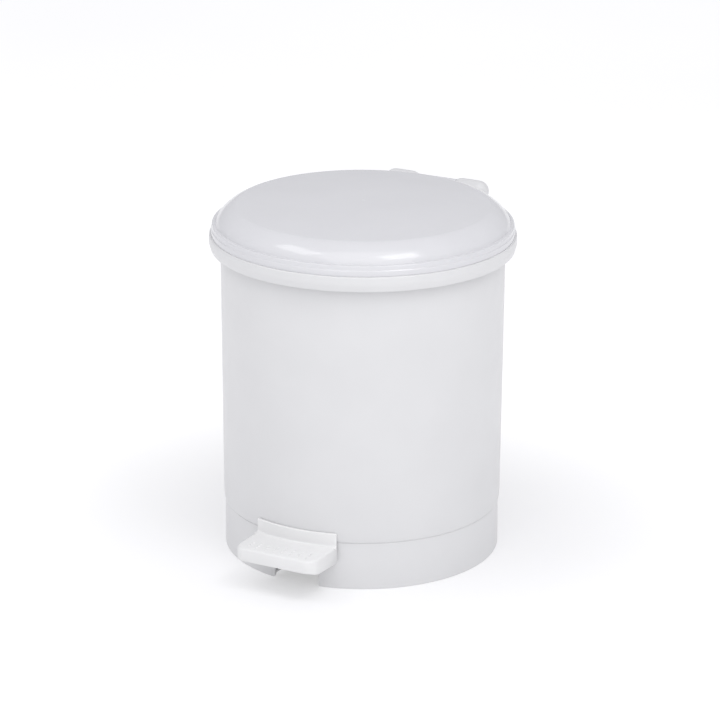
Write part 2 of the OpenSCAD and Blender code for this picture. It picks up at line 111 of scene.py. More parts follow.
def softbox(name, azimuth, elevation, size, power):
    """A rectangular area light that faces the middle of the bin."""
    light = bpy.data.lights.new(name, "AREA")
    light.shape = "RECTANGLE"
    light.size, light.size_y = size
    light.energy = power
    lamp = bpy.data.objects.new(name, light)
    bpy.context.collection.objects.link(lamp)
    a, e = math.radians(azimuth), math.radians(elevation)
    away = Vector((math.sin(a) * math.cos(e), -math.cos(a) * math.cos(e), math.sin(e)))
    middle = Vector((0, 0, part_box("lid")[1].z / 2))
    lamp.location = middle + away * BOX_DISTANCE
    lamp.rotation_euler = away.to_track_quat("Z", "Y").to_euler()
    lamp.visible_camera = False
    print(f"{name}: {power} W from {azimuth:.1f} degrees, {elevation} up")


camera_azimuth = math.degrees(AZIMUTH)
softbox("softbox_left", camera_azimuth - 74, 57, (0.74, 0.4), 2.4)
softbox("softbox_right", camera_azimuth + 38, 56, (0.6, 0.46), 2.9)
softbox("softbox_front", camera_azimuth + 6, 50, (1.7, 1.7), 10.6)

world = bpy.data.worlds.new("studio")
bpy.context.scene.world = world
world.use_nodes = True
background = world.node_tree.nodes["Background"]
background.inputs["Color"].default_value = linear("#FBFBFF")
background.inputs["Strength"].default_value = 0.62
bpy.context.scene.view_settings.view_transform = "Standard"
bpy.context.scene.view_settings.look = "None"

# %% [markdown]
# One helper adds a node, sets its sockets and links its inputs. Every material below is
# built with it, so a recipe reads as a list of nodes.

# %% Node helper
def add(tree, kind, settings=None, inputs=None, links=None):
    """Adds a shader node, with its settings, its socket values and its incoming links."""
    node = tree.nodes.new(kind)
    for key, value in (settings or {}).items():
        setattr(node, key, value)
    for key, value in (inputs or {}).items():
        node.inputs[key].default_value = value
    for key, source in (links or {}).items():
        tree.links.new(source, node.inputs[key])
    return node


def new_material(name):
    """An empty node material, with its tree, its shader and its object coordinates."""
    material = bpy.data.materials.new(name)
    material.use_nodes = True
    tree = material.node_tree
    tree.nodes.clear()
    shader = add(tree, "ShaderNodeBsdfPrincipled")
    add(tree, "ShaderNodeOutputMaterial", links={"Surface": shader.outputs["BSDF"]})
    place = add(tree, "ShaderNodeTexCoord").outputs["Object"]
    return material, tree, shader, place


def per_mm(size):
    """The scale that makes a noise or voronoi cell size millimetres across."""
    return 1 / (size * MM)


def between(tree, value, low, high):
    """A number that runs from low to high as a noise value goes through its usual range."""
    return add(tree, "ShaderNodeMapRange",
               inputs={"From Min": 0.35, "From Max": 0.65, "To Min": low, "To Max": high},
               links={"Value": value}).outputs["Result"]


def blotches(tree, place, size, detail=3.0):
    """Soft noise whose patches are size millimetres across."""
    return add(tree, "ShaderNodeTexNoise", inputs={"Scale": per_mm(size), "Detail": detail},
               links={"Vector": place}).outputs["Fac"]


def tint(tree, shader, value, low, high):
    """Base colour that runs between two hex colours."""
    mix = add(tree, "ShaderNodeMix", {"data_type": "RGBA"},
              links={"Factor": between(tree, value, 0.0, 1.0)})
    mix.inputs[6].default_value = linear(low)
    mix.inputs[7].default_value = linear(high)
    tree.links.new(mix.outputs[2], shader.inputs["Base Color"])


def relief(tree, shader, height, depth):
    """Fine surface relief, depth millimetres deep."""
    bump = add(tree, "ShaderNodeBump", inputs={"Strength": 1.0, "Distance": depth * MM},
               links={"Height": height})
    tree.links.new(bump.outputs["Normal"], shader.inputs["Normal"])


# %% [markdown]
# The floor is a pale sweep lit from below like a light table, and more so further out, so
# that it burns out to white and keeps only a faint shadow under the bin.

# %% Floor
floor_paint, tree, shader, place = new_material("matte_white_sweep")
tint(tree, shader, blotches(tree, place, 600), "#BEBEC0", "#C2C2C4")
reach = add(tree, "ShaderNodeVectorMath", {"operation": "LENGTH"}, links={"Vector": place})
# The glow rises from the bin's foot out to about three times its radius.
glow = add(tree, "ShaderNodeMapRange", {"interpolation_type": "SMOOTHSTEP"},
           inputs={"From Min": 0.10, "From Max": 0.34, "To Min": 0.44, "To Max": 0.62},
           links={"Value": reach.outputs["Value"]})
tree.links.new(glow.outputs["Result"], shader.inputs["Emission Strength"])
shader.inputs["Emission Color"].default_value = linear("#FFFFFF")
shader.inputs["Roughness"].default_value = 0.7
shader.inputs["Specular IOR Level"].default_value = 0.2

bpy.ops.object.select_all(action="DESELECT")
SWEEP_R = 30
bpy.ops.mesh.primitive_circle_add(vertices=96, radius=SWEEP_R, fill_type="NGON",
                                  location=(0, 0, 0))
floor = bpy.context.object
floor.name = "floor"
floor.data.materials.append(floor_paint)
print("floor:", floor_paint.name)

# %% [markdown]
# Injection-moulded polypropylene is the white of the body, base and pedal. The mould is
# satin, so the gloss is broad and soft, and shrinkage leaves the faintest ripple. Real
# ripple is some tenths of a millimetre wide; it is drawn 1.6 mm wide so that it shows.

# %% White polypropylene
def moulded_pp(name, low, high, rough, ripple, depth):
    """Moulded polypropylene: clouded colour, patchy gloss and a fine ripple."""
    material, tree, shader, place = new_material(name)
    tint(tree, shader, blotches(tree, place, 45), low, high)
    gloss = blotches(tree, place, 12, 4.0)
    tree.links.new(between(tree, gloss, rough - 0.03, rough + 0.04), shader.inputs["Roughness"])
    shader.inputs["IOR"].default_value = 1.49
    relief(tree, shader, blotches(tree, place, ripple, 2.0), depth)
    return material


white_pp = moulded_pp("moulded_polypropylene_white", "#D9D9DA", "#DBDBDC", 0.36, 1.6, 0.012)
# The lid comes from a polished mould, so its highlights are tighter.
gloss_pp = moulded_pp("polished_polypropylene_white", "#D6D6D9", "#D8D8DB", 0.1, 3.0, 0.004)
# The pedal is moulded from the same granules, in a lightly sparked mould. Its colour is painted lighter than the
# body's, and that extra lightness is painted light.
lighter_pedal_pp = moulded_pp("sparked_polypropylene_painted_lighter", "#E5E5E5", "#E8E8E8", 0.4, 0.9, 0.02)
# The bucket is pale grey and plain, because it only shows when the lid is open.
bucket_pp = moulded_pp("moulded_polypropylene_grey", "#C2C4C8", "#C8CACE", 0.42, 2.2, 0.02)
grip_pp = moulded_pp("moulded_polypropylene_dark_grey", "#7E8186", "#85888D", 0.45, 1.2, 0.02)
print("plastics:", ", ".join(m.name for m in (white_pp, gloss_pp, lighter_pedal_pp, bucket_pp, grip_pp)))

# %% [markdown]
# The mechanism is mild steel with a clear zinc plating, which is pale and slightly
# cloudy. The bail and the rod are drawn wire, whose die leaves fine lines along it.

# %% Steel
steel, tree, shader, place = new_material("clear_zinc_plated_steel")
tint(tree, shader, blotches(tree, place, 5), "#B9BCBF", "#CDCFD1")
tree.links.new(between(tree, blotches(tree, place, 2.5), 0.24, 0.42), shader.inputs["Roughness"])
shader.inputs["Metallic"].default_value = 1.0
relief(tree, shader, blotches(tree, place, 0.8), 0.01)

wire, tree, shader, place = new_material("drawn_steel_wire")
tint(tree, shader, blotches(tree, place, 3), "#B4B6B9", "#C9CBCD")
drawn = add(tree, "ShaderNodeMapping", links={"Vector": place})
drawn.inputs["Scale"].default_value = (1.0, 1.0, 0.04)
tree.links.new(between(tree, blotches(tree, drawn.outputs["Vector"], 0.5), 0.2, 0.36),
               shader.inputs["Roughness"])
shader.inputs["Metallic"].default_value = 1.0
relief(tree, shader, blotches(tree, drawn.outputs["Vector"], 0.5), 0.01)
print("metals:", steel.name + ",", wire.name)

# %% [markdown]
# The bush, the shoe and the guides are natural nylon, which is waxy and a little yellow.
# The feet are black rubber, pressed in a blasted mould.

# %% Nylon and rubber
nylon, tree, shader, place = new_material("natural_nylon")
tint(tree, shader, blotches(tree, place, 4), "#E2DCC9", "#E9E4D3")
tree.links.new(between(tree, blotches(tree, place, 2), 0.34, 0.44), shader.inputs["Roughness"])
shader.inputs["IOR"].default_value = 1.53
relief(tree, shader, blotches(tree, place, 0.8), 0.008)

rubber, tree, shader, place = new_material("moulded_black_rubber")
tint(tree, shader, blotches(tree, place, 3), "#2A2A2C", "#333335")
tree.links.new(between(tree, blotches(tree, place, 1), 0.7, 0.85), shader.inputs["Roughness"])
relief(tree, shader, blotches(tree, place, 0.5), 0.03)

finish_of = {"white_plastic": white_pp, "bucket_plastic": bucket_pp, "grip_plastic": grip_pp,
             "nylon": nylon, "steel": steel, "steel_wire": wire, "rubber": rubber}
slot_of = {part["node"]: part["material_slot"] for part in frame["record"]["subparts"]}
for name, slot in slot_of.items():
    node = frame["nodes"][name]
    node.data.materials.clear()
    node.data.materials.append(finish_of[slot])
print("finishes:", ", ".join(sorted(m.name for m in finish_of.values())))

# %% [markdown]
# Most of the bin is turned work, so most pieces start from an outline that is spun.
# A plane is shrunk to one point, the point is extruded along the outline, and the line is
# spun about the bin's axis. Corners are given with the radius that the mould has there.

# %% Drawing and turning helpers
def tidy_selection():
    """Object mode, with nothing selected."""
    if bpy.context.object and bpy.context.object.mode != "OBJECT":
        bpy.ops.object.mode_set(mode="OBJECT")
    bpy.ops.object.select_all(action="DESELECT")


def draw(name, points):
    """A line through the points, left in edit mode and selected."""
    tidy_selection()
    bpy.ops.mesh.primitive_plane_add(size=MM, location=(0, 0, 0))
    piece = bpy.context.object
    piece.name = piece.data.name = name
    bpy.ops.object.mode_set(mode="EDIT")
    bpy.ops.mesh.select_mode(type="VERT")
    bpy.ops.mesh.select_all(action="SELECT")
    bpy.ops.mesh.merge(type="CENTER")
    bpy.ops.transform.translate(value=points[0])
    for here, there in zip(points, points[1:]):
        step = Vector(there) - Vector(here)
        bpy.ops.mesh.extrude_vertices_move(TRANSFORM_OT_translate={"value": step})
    bpy.ops.mesh.select_all(action="SELECT")
    return piece


def rounded(corners, steps=5):
    """The points of a closed outline whose corners (u, v, radius) are arcs, in metres."""
    points = []
    for i, (u, v, radius) in enumerate(corners):
        corner = Vector((u, v)) * MM
        before = Vector(corners[i - 1][:2]) * MM - corner
        after = Vector(corners[(i + 1) % len(corners)][:2]) * MM - corner
        half = before.angle(after) / 2
        back = min(radius * MM / math.tan(half), 0.49 * before.length, 0.49 * after.length)
        if radius == 0 or back < 0.02 * MM:
            points.append(corner)
            continue
        first, last = corner + before.normalized() * back, corner + after.normalized() * back
        middle = corner + (before.normalized() + after.normalized()).normalized() \
            * (back / math.cos(half))
        reach = (first - middle).length
        for k in range(steps + 1):
            ray = (first - middle).slerp(last - middle, k / steps)
            points.append(middle + ray.normalized() * reach)
    return points


def close_up(piece):
    """Merges doubles and turns the faces outwards."""
    bpy.ops.mesh.select_all(action="SELECT")
    bpy.ops.mesh.remove_doubles(threshold=0.004 * MM)
    bpy.ops.mesh.normals_make_consistent(inside=False)
    bpy.ops.object.mode_set(mode="OBJECT")


def turn(name, outline, steps=160):
    """Spins an outline of (radius, height) points about the bin's axis."""
    ring = list(outline)
    if ring[0][0] > 1e-7 or ring[-1][0] > 1e-7:
        ring.append(ring[0])
    piece = draw(name, [(r, 0, z) for r, z in ring])
    bpy.ops.mesh.spin(steps=steps, angle=math.tau, center=(0, 0, 0), axis=(0, 0, 1))
    close_up(piece)
    return piece


def slab(name, outline, low, high, axis="X"):
    """A closed outline given thickness between low and high millimetres along an axis."""
    place = {"X": lambda u, v: (low * MM, u, v), "Y": lambda u, v: (u, low * MM, v),
             "Z": lambda u, v: (u, v, low * MM)}[axis]
    piece = draw(name, [place(u, v) for u, v in outline])
    bpy.ops.mesh.edge_face_add()
    way = Vector([(high - low) * MM if letter == axis else 0 for letter in "XYZ"])
    bpy.ops.mesh.extrude_region_move(TRANSFORM_OT_translate={"value": way})
    close_up(piece)
    return piece


def modify(piece, kind, **settings):
    """Adds a modifier, sets it and applies it."""
    tidy_selection()
    bpy.context.view_layer.objects.active = piece
    piece.select_set(True)
    modifier = piece.modifiers.new(kind.lower(), kind)
    for key, value in settings.items():
        setattr(modifier, key, value)
    bpy.ops.object.modifier_apply(modifier=modifier.name)


def cut(piece, *cutters):
    """Takes the cutters' volume out of the piece."""
    for cutter in cutters:
        modify(piece, "BOOLEAN", operation="DIFFERENCE", solver="EXACT", object=cutter)
        bpy.data.objects.remove(cutter)


def soften(piece, width, segments=2, angle=40):
    """Rounds the edges that are sharper than the angle."""
    modify(piece, "BEVEL", width=width * MM, segments=segments, limit_method="ANGLE",
           angle_limit=math.radians(angle), miter_outer="MITER_ARC")


def bar_x(name, radius, reach, y, z, vertices=32):
    """A round bar along X through (y, z), from -reach to reach, in millimetres."""
    tidy_selection()
    bpy.ops.mesh.primitive_cylinder_add(
        vertices=vertices, radius=radius * MM, depth=2 * reach * MM,
        location=(0, y * MM, z * MM), rotation=(0, math.pi / 2, 0))
    piece = bpy.context.object
    piece.name = piece.data.name = name
    bpy.ops.object.transform_apply(location=True, rotation=True, scale=True)
    return piece


def facing(piece, test):
    """Selects, in edit mode, the faces that pass the test on centre and normal."""
    tidy_selection()
    bpy.context.view_layer.objects.active = piece
    piece.select_set(True)
    bpy.ops.object.mode_set(mode="EDIT")
    bpy.ops.mesh.select_mode(type="FACE")
    bpy.ops.mesh.select_all(action="DESELECT")
    bpy.ops.object.mode_set(mode="OBJECT")
    for face in piece.data.polygons:
        face.select = test(face.center / MM, face.normal)
    bpy.ops.object.mode_set(mode="EDIT")


def face_front(piece):
    """Turns a piece that was spun from the X axis until its middle points along -Y."""
    spread = sum((vertex.co.xy for vertex in piece.data.vertices), Vector((0, 0)))
    piece.data.transform(Matrix.Rotation(-math.pi / 2 - math.atan2(spread.y, spread.x), 4, "Z"))


def copy_of(piece, name, matrix):
    """A copy with a mesh of its own, put in place by the matrix."""
    twin = piece.copy()
    twin.data = piece.data.copy()
    twin.name = twin.data.name = name
    bpy.context.collection.objects.link(twin)
    twin.data.transform(matrix)
    if matrix.determinant() < 0:
        twin.data.flip_normals()
    return twin


def join(pieces):
    """Makes one piece of several, named after the first."""
    tidy_selection()
    for piece in pieces:
        piece.select_set(True)
    bpy.context.view_layer.objects.active = pieces[0]
    bpy.ops.object.join()
    return pieces[0]


def hand_over(piece, body, material, stands_for=(), crease=32):
    """Smooths the piece, gives it its finish and lets it ride on its body."""
    tidy_selection()
    bpy.context.view_layer.objects.active = piece
    piece.select_set(True)
    bpy.ops.object.shade_smooth_by_angle(angle=math.radians(crease))
    piece.data.materials.clear()
    piece.data.materials.append(material)
    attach(piece, body)
    if stands_for:
        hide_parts(*stands_for)
    print(f"{piece.name}: {len(piece.data.polygons)} faces on {body}")


# %% [markdown]
# The driving sizes are read from the frame: the rim, the seam, the hinge's axis and the
# pedal. What hides inside a node's box is given here as the frame's own drawing has it.

# %% Driving sizes in millimetres
RIM_R = rim_r / MM
SEAM_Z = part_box("outer_shell")[0].z / MM
FLANGE_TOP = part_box("inner_bucket")[1].z / MM
FLANGE_STAND, LID_GAP, LID_WALL_H = 2.0, 0.5, 7.1
RIM_OVERHANG, SHELL_DRAFT, WALL = 8.2, 1.2, 1.8
RIM_TOP = FLANGE_TOP - FLANGE_STAND
LID_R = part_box("lid")[1].x / MM
LID_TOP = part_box("lid")[1].z / MM
LID_Z = RIM_TOP + LID_GAP
LEDGE_Z = LID_Z + LID_WALL_H
SHELL_TOP_R = RIM_R - RIM_OVERHANG
SHELL_LOW_R = SHELL_TOP_R - SHELL_DRAFT
RING_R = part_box("base")[1].x / MM
hinge = next(j for j in frame["joints"] if j["name"] == "lid_hinge")["pos_m"]
HINGE_Y, HINGE_Z = hinge[1] / MM, hinge[2] / MM
print(f"rim {RIM_R:.1f} at {RIM_TOP:.1f}, seam {SEAM_Z:.1f}, lid {LID_R:.1f} to {LID_TOP:.1f}")

# %% [markdown]
# The lid is one moulding, a shallow dome with a wide rounded shoulder. It stands on a
# narrow ledge over an upright wall, and the wall has a fine step half-way up. The dome is
# a super-ellipse and a low crown, with the inside face one wall thickness below. The
# mould's gate leaves a small round dimple in the middle of the crown.

# %% Lid
LEDGE_W, SHOULDER_RUN, SHOULDER_RISE, CROWN_RISE = 3.4, 14.8, 12.6, 2.8
SHOULDER_POWER = 1.45
STEP_IN = 0.6
GATE_R, GATE_DEPTH = 1.2, 0.15
LID_FOOT_Z = RIM_TOP + 0.05
SHOULDER_R = LID_R - LEDGE_W
CROWN_R = SHOULDER_R - SHOULDER_RUN


def dome(inset, steps=26):
    """Points from the dome's foot over the shoulder to the middle of the crown."""
    points = []
    bend = 2 / SHOULDER_POWER
    for i in range(steps + 1):
        t = math.pi / 2 * i / steps
        u = CROWN_R - inset + (SHOULDER_R - CROWN_R) * max(math.cos(t), 0) ** bend
        v = LEDGE_Z - inset + SHOULDER_RISE * math.sin(t) ** bend
        points.append(Vector((u, v)) * MM)
    for i in range(steps - 1, -1, -1):
        s = i / steps
        u = (CROWN_R - inset) * s
        v = LEDGE_Z - inset + SHOULDER_RISE + CROWN_RISE * (1 - s * s)
        points.append(Vector((u, v)) * MM)
    return points


edge = rounded([
    (LID_R - WALL, LEDGE_Z - WALL, 0.6),
    (LID_R - WALL, LID_FOOT_Z, 0.15),
    (LID_R, LID_FOOT_Z, 0.15),
    (LID_R, LID_Z + 3.2, 0.5),
    (LID_R - STEP_IN, LID_Z + 4.0, 0.5),
    (LID_R - STEP_IN, LEDGE_Z, 0.9),
    (SHOULDER_R + 0.3, LEDGE_Z, 0.3),
    (SHOULDER_R - 0.6, LEDGE_Z + 2.6, 0)])[:-1]
gate_mark = [Vector((u, v)) * MM for u, v in (
    (GATE_R + 0.2, LID_TOP), (GATE_R, LID_TOP - GATE_DEPTH), (0, LID_TOP - GATE_DEPTH))]
lid_shell = turn("lid_shell", dome(WALL)[::-1] + edge + dome(0)[3:-1] + gate_mark, steps=192)
hand_over(lid_shell, "lid", gloss_pp, ["lid"])

# %% [markdown]
# Under the back of the lid a bridge carries the hinge's barrel, and a crank reaches down
# for the push rod. They are thick ribs of the same moulding, so their edges are rounded
# and gussets stiffen the corner.

# %% Hinge barrel, bridge and crank
BARREL_R, BARREL_X, PIN_R = 6.5, 16.2, 2.05
NOSE_R, NOSE_W, CRANK = 2.5, 10, 23.7
CRANK_ANGLE = math.radians(35)
NOSE_Y = HINGE_Y - CRANK * math.cos(CRANK_ANGLE)
NOSE_Z = HINGE_Z - CRANK * math.sin(CRANK_ANGLE)
BRIDGE_Z = RIM_TOP + 1.8
GUSSET_X, GUSSET_HALF, GUSSET_REACH = 5.6, 0.7, 16

barrel = bar_x("lid_hinge_barrel", BARREL_R, BARREL_X, HINGE_Y, HINGE_Z, 48)
cut(barrel, bar_x("bore", PIN_R, BARREL_X + 1, HINGE_Y, HINGE_Z, 48))
soften(barrel, 0.5, 3)
hand_over(barrel, "lid", gloss_pp)

bridge = slab("lid_bridge", rounded([
    (LID_R - 1.2, BRIDGE_Z, 0.5), (HINGE_Y - 3, BRIDGE_Z, 0), (HINGE_Y - 1, HINGE_Z, 0),
    (HINGE_Y - 3.5, LEDGE_Z - WALL + 0.6, 1.5), (LID_R - 1.2, LEDGE_Z - WALL, 0)]),
    -BARREL_X, BARREL_X)
soften(bridge, 0.5)
gusset = slab("gusset", rounded([
    (LID_R - GUSSET_REACH, LEDGE_Z - WALL + 0.3, 0), (LID_R - 1.5, LEDGE_Z - WALL + 0.3, 0),
    (LID_R - 1.5, BRIDGE_Z + 1.2, 0.8), (LID_R - 3.2, BRIDGE_Z + 1.2, 0.8)]),
    -GUSSET_HALF, GUSSET_HALF)
gussets = [copy_of(gusset, f"gusset_{x}", Matrix.Translation((x * MM, 0, 0)))
           for x in (-GUSSET_X, GUSSET_X)]
crank = slab("lid_crank", rounded([
    (NOSE_Y - NOSE_R, NOSE_Z - NOSE_R, NOSE_R), (NOSE_Y + NOSE_R, NOSE_Z - NOSE_R, NOSE_R),
    (NOSE_Y + NOSE_R, BRIDGE_Z, 2.5), (LID_R - 1, BRIDGE_Z, 0),
    (LID_R - 1, LEDGE_Z - WALL + 0.3, 0), (NOSE_Y - NOSE_R, LEDGE_Z - WALL + 0.3, 0)]),
    -NOSE_W / 2, NOSE_W / 2)
soften(crank, 0.6)
lid_ribs = join([crank, bridge] + gussets)
bpy.data.objects.remove(gusset)
hand_over(lid_ribs, "lid", gloss_pp)

# %% [markdown]
# The outer shell is one tall moulding with almost no draft. Its mouth is rolled outwards
# into a hollow rim, and its lower edge turns in a little where it meets the base. Four
# bosses inside take the screws from below.

# %% Outer shell
LIP_IN, LIP_H, RIM_DEPTH, RIM_TUCK = 1.0, 8.0, 11.0, 1.5
lip = [Vector((SHELL_LOW_R - LIP_IN * (1 - math.sin(t)), SEAM_Z + 0.4 + LIP_H * (1 - math.cos(t))))
       * MM for t in [math.pi / 2 * i / 8 for i in range(9)]]
mouth = rounded([
    (SHELL_TOP_R, RIM_TOP - 30, 0),
    (SHELL_TOP_R, RIM_TOP - WALL, 2.0),
    (RIM_R - WALL - 0.3, RIM_TOP - WALL, 1.6),
    (RIM_R - RIM_TUCK - WALL, RIM_TOP - RIM_DEPTH, 0.6),
    (RIM_R - RIM_TUCK, RIM_TOP - RIM_DEPTH, 0.9),
    (RIM_R, RIM_TOP - RIM_DEPTH * 0.55, 9.0),
    (RIM_R - 0.3, RIM_TOP, 1.3),
    (SHELL_TOP_R - WALL, RIM_TOP, 0.6),
    (SHELL_LOW_R - WALL, SEAM_Z, 0.3),
    (SHELL_LOW_R - LIP_IN, SEAM_Z, 0)])
shell = turn("shell_wall", mouth[1:-1] + [Vector((SHELL_LOW_R - LIP_IN - 0.3, SEAM_Z)) * MM] + lip,
             steps=192)

# %% Screw bosses inside the shell
FIT, BOSS_R, BOSS_H, BOSS_BORE, WEB_HALF = 0.15, 4.4, 15, 1.5, 2.4
PILLAR_CIRCLE = SHELL_LOW_R - WALL - FIT - BOSS_R - 0.2
BOSS_Z = SEAM_Z + 10.2
BOSS_TOP = BOSS_Z + BOSS_H
boss = turn("boss", rounded([
    (BOSS_BORE, BOSS_Z, 0.2), (BOSS_R, BOSS_Z, 0.4), (BOSS_R - 0.2, BOSS_TOP, 0.4),
    (BOSS_BORE, BOSS_TOP, 0.2)], 3), steps=32)
web = slab("web", rounded([
    (BOSS_R - 0.8, BOSS_Z + 0.5, 0.4), (BOSS_R + 1, BOSS_Z + 0.5, 0), (BOSS_R + 1, BOSS_TOP, 0),
    (BOSS_R - 0.8, BOSS_TOP - 2, 0.4)]), -WEB_HALF, WEB_HALF, "Y")
boss = join([boss, web])
screw_angles = [math.radians(45 + 90 * i) for i in range(4)]
bosses = [copy_of(boss, f"boss_{i}", Matrix.Rotation(a, 4, "Z")
                  @ Matrix.Translation((PILLAR_CIRCLE * MM, 0, 0)))
          for i, a in enumerate(screw_angles)]
bpy.data.objects.remove(boss)
shell = join([shell] + bosses)
shell.name = shell.data.name = "outer_shell_body"
hand_over(shell, "housing", white_pp, ["outer_shell"])

# %% [markdown]
# Two rounded knuckles stand behind the rim and hold the hinge's pins. Each is a capsule on
# a web. The two are fused, remeshed finely and smoothed, which lays an even fillet round
# the join, and the inner side is then cut flat where the lid's barrel runs past it.

# %% Hinge knuckles
KNUCKLE_X, KNUCKLE_HALF, KNUCKLE_R = 27.7, 6.5, 8.0
KNUCKLE_CUT, KNUCKLE_WEB_HALF, VOXEL = 16.5, 9.5, 0.45
tidy_selection()
bpy.ops.mesh.primitive_uv_sphere_add(segments=48, ring_count=32, radius=KNUCKLE_R * MM,
                                     location=(0, 0, 0), rotation=(0, math.pi / 2, 0))
knuckle = bpy.context.object
bpy.ops.object.transform_apply(location=True, rotation=True, scale=True)
bpy.ops.object.mode_set(mode="EDIT")
bpy.ops.mesh.select_all(action="SELECT")
bpy.ops.mesh.bisect(plane_co=(0, 0, 0), plane_no=(1, 0, 0))
bpy.ops.object.mode_set(mode="OBJECT")
for vertex in knuckle.data.vertices:
    if abs(vertex.co.x) > 1e-6:
        vertex.co.x += math.copysign(KNUCKLE_HALF * MM, vertex.co.x)
knuckle.data.transform(Matrix.Translation(Vector((KNUCKLE_X, HINGE_Y, HINGE_Z)) * MM))
web = slab("knuckle_web", rounded([
    (SHELL_TOP_R + 0.4, RIM_TOP - 7.4, 0), (SHELL_TOP_R + 0.4, RIM_TOP - 0.6, 0),
    (HINGE_Y - 7.0, RIM_TOP - 0.6, 0.6), (HINGE_Y - 7.0, HINGE_Z, 0), (HINGE_Y, HINGE_Z, 0),
    (HINGE_Y + 7.2, HINGE_Z - 3, 0), (HINGE_Y - 2, HINGE_Z - 15, 2),
    (HINGE_Y - 8.5, HINGE_Z - 15.8, 1)]),
    KNUCKLE_X - KNUCKLE_WEB_HALF, KNUCKLE_X + KNUCKLE_WEB_HALF)
modify(knuckle, "BOOLEAN", operation="UNION", solver="EXACT", object=web)
bpy.data.objects.remove(web)
modify(knuckle, "REMESH", mode="VOXEL", voxel_size=VOXEL * MM)
modify(knuckle, "SMOOTH", factor=0.5, iterations=14)
bpy.ops.object.mode_set(mode="EDIT")
bpy.ops.mesh.select_all(action="SELECT")
bpy.ops.mesh.bisect(plane_co=(KNUCKLE_CUT * MM, 0, 0), plane_no=(1, 0, 0), clear_inner=True,
                    use_fill=True)
close_up(knuckle)
knuckle_right = copy_of(knuckle, "hinge_knuckle_right", Matrix.Identity(4))
knuckle_left = copy_of(knuckle, "hinge_knuckle_left", Matrix.Scale(-1, 4, (1, 0, 0)))
bpy.data.objects.remove(knuckle)
for piece in (knuckle_left, knuckle_right):
    hand_over(piece, "housing", white_pp)

# %% [markdown]
# The base is a ring with a spigot that locates the shell, closed by a deck. At the front a
# notch lets the pedal's lever through, and its lower corners are rounded. The ring and the
# deck are turned and cut, and then the ribs, screw pillars and axle brackets are added.

# %% Base ring with its notch
BASE_STEP, BASE_WALL, SPIGOT_WALL, SPIGOT_H = 1.2, 2.2, 1.8, 9.7
BASE_TOP_R = SHELL_LOW_R - BASE_STEP
SPIGOT_R, SPIGOT_TOP = SHELL_LOW_R - WALL - FIT, SEAM_Z + SPIGOT_H
TREAD_Z = SEAM_Z - 1.8
NOTCH_W, NOTCH_IN, DECK_Z, DECK_T = 35.5, 72, 3.0, 2.0
CHANNEL_HALF, CHANNEL_IN, CHANNEL_OUT = 6, 89, 98
ring = turn("base_ring", rounded([
    (RING_R - BASE_WALL, 0, 0.4), (RING_R, 0, 1.0), (BASE_TOP_R, SEAM_Z, 0.5),
    (SPIGOT_R, SEAM_Z, 0), (SPIGOT_R, SPIGOT_TOP, 0.8), (SPIGOT_R - SPIGOT_WALL, SPIGOT_TOP, 0.3),
    (SPIGOT_R - SPIGOT_WALL, SEAM_Z - 1, 0.6), (BASE_TOP_R - BASE_WALL, SEAM_Z - 3, 0.6)]), steps=192)
NOTCH_OUTLINE = rounded([
    (-NOTCH_W / 2 - 6, -1, 0), (NOTCH_W / 2 + 6, -1, 0), (NOTCH_W / 2 + 6, 0, 0),
    (NOTCH_W / 2, 0, 2.2), (NOTCH_W / 2, TREAD_Z - 0.4, 3), (-NOTCH_W / 2, TREAD_Z - 0.4, 3),
    (-NOTCH_W / 2, 0, 2.2), (-NOTCH_W / 2 - 6, 0, 0)])
channel = slab("channel", rounded([
    (-CHANNEL_HALF, CHANNEL_IN, 0), (CHANNEL_HALF, CHANNEL_IN, 0),
    (CHANNEL_HALF, CHANNEL_OUT, 0), (-CHANNEL_HALF, CHANNEL_OUT, 0)]),
    DECK_Z + DECK_T, SPIGOT_TOP + 2, "Z")
cut(ring, slab("notch", NOTCH_OUTLINE, -RIM_R, -NOTCH_IN, "Y"), channel)
soften(ring, 0.35, 2, 50)
print(f"{ring.name}: {len(ring.data.polygons)} faces")

# %% Deck, ribs, pillars and brackets
BUSH_R, AXLE_DROP = 4.4, 10.3
AXLE_Y, AXLE_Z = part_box("pivot_bush")[0].y / MM + BUSH_R, SEAM_Z - AXLE_DROP
FOOT_CIRCLE, DECK_R = 72.0, BASE_TOP_R - 1.1
WELL_R, PILLAR_BORE, RIB_Z, RIB_TOP = 3, 1.6, 0.8, DECK_Z + 0.4
HUB_R, RIM_RIB_R, RIB_COUNT = 19, 63, 12
deck = turn("deck", rounded([(0, DECK_Z, 0), (DECK_R, DECK_Z, 0),
                             (DECK_R, DECK_Z + DECK_T, 0), (0, DECK_Z + DECK_T, 0)]), steps=128)
well = turn("well", rounded([(0, -1, 0), (WELL_R, -1, 0), (WELL_R, 36, 0), (0, 36, 0)]), steps=32)
wells = [copy_of(well, f"well_{i}", Matrix.Rotation(a, 4, "Z")
                 @ Matrix.Translation((PILLAR_CIRCLE * MM, 0, 0))) for i, a in enumerate(screw_angles)]
cut(deck, slab("notch", NOTCH_OUTLINE, -RIM_R, -NOTCH_IN, "Y"), *wells)
soften(deck, 0.3, 2, 50)
pillar = turn("pillar", rounded([
    (WELL_R, DECK_Z, 0.3), (BOSS_R, DECK_Z, 0.2), (BOSS_R - 0.2, BOSS_Z, 0.4),
    (PILLAR_BORE, BOSS_Z, 0.2), (PILLAR_BORE, BOSS_Z - 7, 0.2),
    (WELL_R, BOSS_Z - 7, 0.2)], 3), steps=32)
pillars = [copy_of(pillar, f"pillar_{i}", Matrix.Rotation(a, 4, "Z")
                   @ Matrix.Translation((PILLAR_CIRCLE * MM, 0, 0)))
           for i, a in enumerate(screw_angles)]
